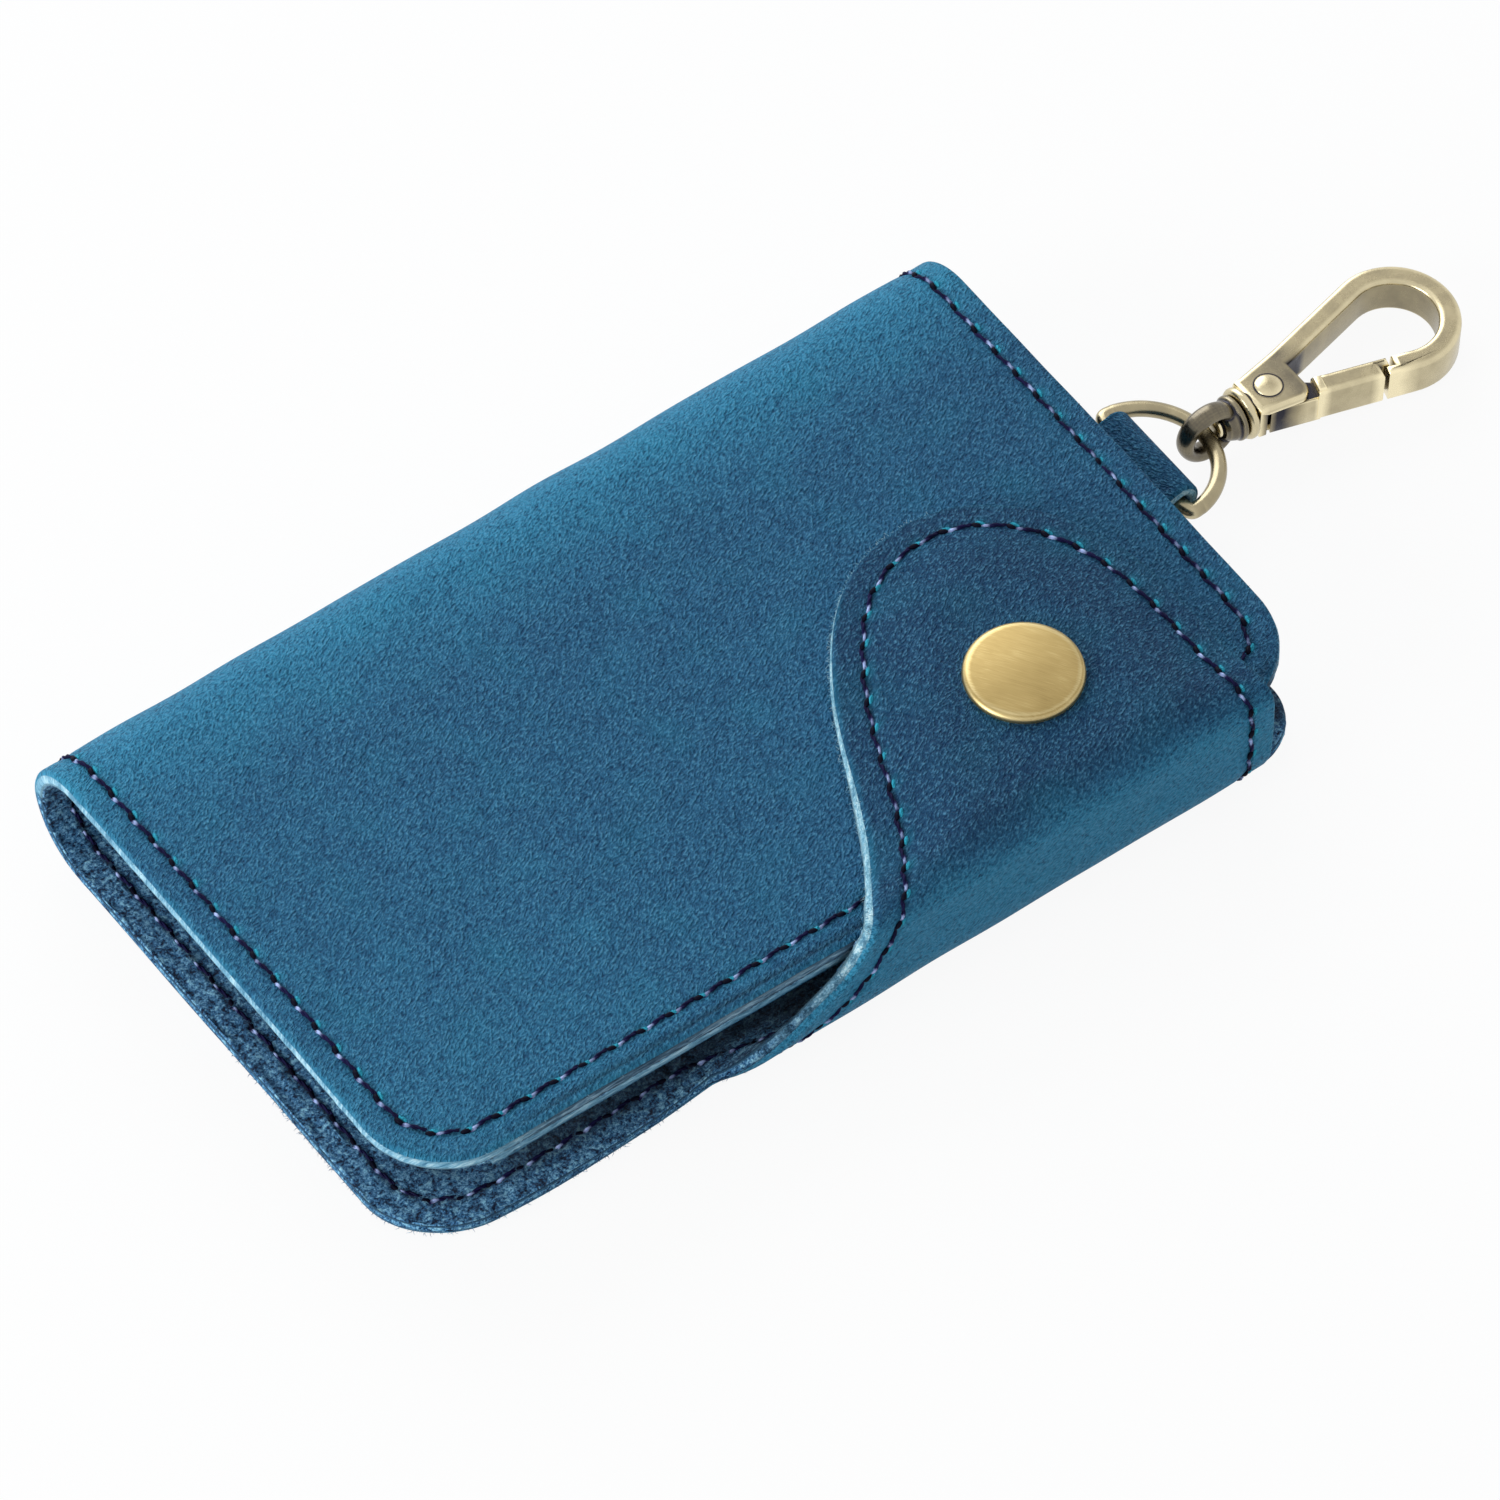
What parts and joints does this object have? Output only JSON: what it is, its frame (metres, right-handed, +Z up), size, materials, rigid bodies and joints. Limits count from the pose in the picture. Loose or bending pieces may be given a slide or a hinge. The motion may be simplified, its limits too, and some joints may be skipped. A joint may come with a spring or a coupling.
{
  "type": "key case",
  "caption": "Folded leather key case with a snap flap, an inner row of turning key hooks and a swivel snap hook on a D-ring at one end.",
  "frame": {"origin": "middle of the back's outer face, on the surface that the case lies on", "axes": "+X along the case towards the snap hook, +Y towards the folded spine, +Z up through the front"},
  "size_m": [0.1543, 0.0688, 0.0199],
  "materials": {
    "leather": "oiled, waxed, satin",
    "pocket_leather": "matt, flesh side",
    "brass": "antique, brushed",
    "steel": "plated, satin",
    "spring_steel": "hardened, satin"
  },
  "bodies": {
    "back": {"back_panel": "leather", "hanger_tab": "leather", "key_plate": "steel", "key_plate_rivets": "brass"},
    "spine": {"spine_fold": "leather"},
    "front": {"front_panel": "leather", "front_pocket": "pocket_leather", "snap_stud": "brass", "snap_base": "brass"},
    "flap_side": {"flap_side": "leather"},
    "flap_tip": {"flap_tip": "leather", "snap_cap": "brass", "snap_socket": "brass"},
    "d_ring": {"d_ring": "brass"},
    "eye": {"swivel_eye": "brass"},
    "hook": {"hook_body": "brass", "gate_rivet": "brass", "gate_spring": "spring_steel"},
    "gate": {"hook_gate": "brass"},
    "key_hook_1": {"key_hook_1": "steel"},
    "key_gate_1": {"key_gate_1": "spring_steel"},
    "key_hook_2": {"key_hook_2": "steel"},
    "key_gate_2": {"key_gate_2": "spring_steel"},
    "key_hook_3": {"key_hook_3": "steel"},
    "key_gate_3": {"key_gate_3": "spring_steel"},
    "key_hook_4": {"key_hook_4": "steel"},
    "key_gate_4": {"key_gate_4": "spring_steel"},
    "key_hook_5": {"key_hook_5": "steel"},
    "key_gate_5": {"key_gate_5": "spring_steel"},
    "key_hook_6": {"key_hook_6": "steel"},
    "key_gate_6": {"key_gate_6": "spring_steel"}
  },
  "joints": [
    {"name": "spine_open", "type": "hinge", "parent": "back", "child": "spine", "pos_m": [0, 0.03113, 0.00217], "axis": [-1, 0, 0], "range_deg": [0, 90]},
    {"name": "front_open", "type": "hinge", "parent": "spine", "child": "front", "pos_m": [0, 0.03113, 0.01263], "axis": [-1, 0, 0], "range_deg": [0, 90]},
    {"name": "flap_open", "type": "hinge", "parent": "back", "child": "flap_side", "pos_m": [0, -0.0335, 0.00205], "axis": [1, 0, 0], "range_deg": [0, 90]},
    {"name": "flap_tip_open", "type": "hinge", "parent": "flap_side", "child": "flap_tip", "pos_m": [0, -0.03409, 0.01714], "axis": [1, 0, 0], "range_deg": [0, 90]},
    {"name": "d_ring_swing", "type": "hinge", "parent": "back", "child": "d_ring", "pos_m": [0.0604, 0.0022, 0.0042], "axis": [0, -1, 0], "range_deg": [-60, 75]},
    {"name": "eye_swing", "type": "hinge", "parent": "d_ring", "child": "eye", "pos_m": [0.06799, 0.0022, 0.00382], "axis": [0, -1, 0], "range_deg": [-70, 70]},
    {"name": "hook_swivel", "type": "hinge", "parent": "eye", "child": "hook", "pos_m": [0.07219, 0.0022, 0.00361], "axis": [0.9987, 0, -0.0501], "continuous": true},
    {"name": "gate_open", "type": "hinge", "parent": "hook", "child": "gate", "pos_m": [0.07608, 0.0022, 0.00341], "axis": [0.0501, 0, 0.9987], "range_deg": [0, 24], "stiffness_Nm_per_rad": 0.02, "springref_deg": -20.05, "deforming": ["gate_spring"]},
    {"name": "key_hook_1_turn", "type": "hinge", "parent": "back", "child": "key_hook_1", "pos_m": [0.036, -0.0215, 0.006], "axis": [1, 0, 0], "continuous": true},
    {"name": "key_gate_1_open", "type": "hinge", "parent": "key_hook_1", "child": "key_gate_1", "pos_m": [0.02965, -0.02025, 0.006], "axis": [0, 0, 1], "range_deg": [0, 12], "stiffness_Nm_per_rad": 0.002, "springref_deg": -5.73},
    {"name": "key_hook_2_turn", "type": "hinge", "parent": "back", "child": "key_hook_2", "pos_m": [0.036, -0.0143, 0.006], "axis": [1, 0, 0], "continuous": true},
    {"name": "key_gate_2_open", "type": "hinge", "parent": "key_hook_2", "child": "key_gate_2", "pos_m": [0.02965, -0.01305, 0.006], "axis": [0, 0, 1], "range_deg": [0, 12], "stiffness_Nm_per_rad": 0.002, "springref_deg": -5.73},
    {"name": "key_hook_3_turn", "type": "hinge", "parent": "back", "child": "key_hook_3", "pos_m": [0.036, -0.0071, 0.006], "axis": [1, 0, 0], "continuous": true},
    {"name": "key_gate_3_open", "type": "hinge", "parent": "key_hook_3", "child": "key_gate_3", "pos_m": [0.02965, -0.00585, 0.006], "axis": [0, 0, 1], "range_deg": [0, 12], "stiffness_Nm_per_rad": 0.002, "springref_deg": -5.73},
    {"name": "key_hook_4_turn", "type": "hinge", "parent": "back", "child": "key_hook_4", "pos_m": [0.036, 0.0001, 0.006], "axis": [1, 0, 0], "continuous": true},
    {"name": "key_gate_4_open", "type": "hinge", "parent": "key_hook_4", "child": "key_gate_4", "pos_m": [0.02965, 0.00135, 0.006], "axis": [0, 0, 1], "range_deg": [0, 12], "stiffness_Nm_per_rad": 0.002, "springref_deg": -5.73},
    {"name": "key_hook_5_turn", "type": "hinge", "parent": "back", "child": "key_hook_5", "pos_m": [0.036, 0.0073, 0.006], "axis": [1, 0, 0], "continuous": true},
    {"name": "key_gate_5_open", "type": "hinge", "parent": "key_hook_5", "child": "key_gate_5", "pos_m": [0.02965, 0.00855, 0.006], "axis": [0, 0, 1], "range_deg": [0, 12], "stiffness_Nm_per_rad": 0.002, "springref_deg": -5.73},
    {"name": "key_hook_6_turn", "type": "hinge", "parent": "back", "child": "key_hook_6", "pos_m": [0.036, 0.0145, 0.006], "axis": [1, 0, 0], "continuous": true},
    {"name": "key_gate_6_open", "type": "hinge", "parent": "key_hook_6", "child": "key_gate_6", "pos_m": [0.02965, 0.01575, 0.006], "axis": [0, 0, 1], "range_deg": [0, 12], "stiffness_Nm_per_rad": 0.002, "springref_deg": -5.73}
  ],
  "couplings": [
    {"joint": "front_open", "follows": "spine_open", "ratio": 1},
    {"joint": "flap_tip_open", "follows": "flap_open", "ratio": 1}
  ]
}
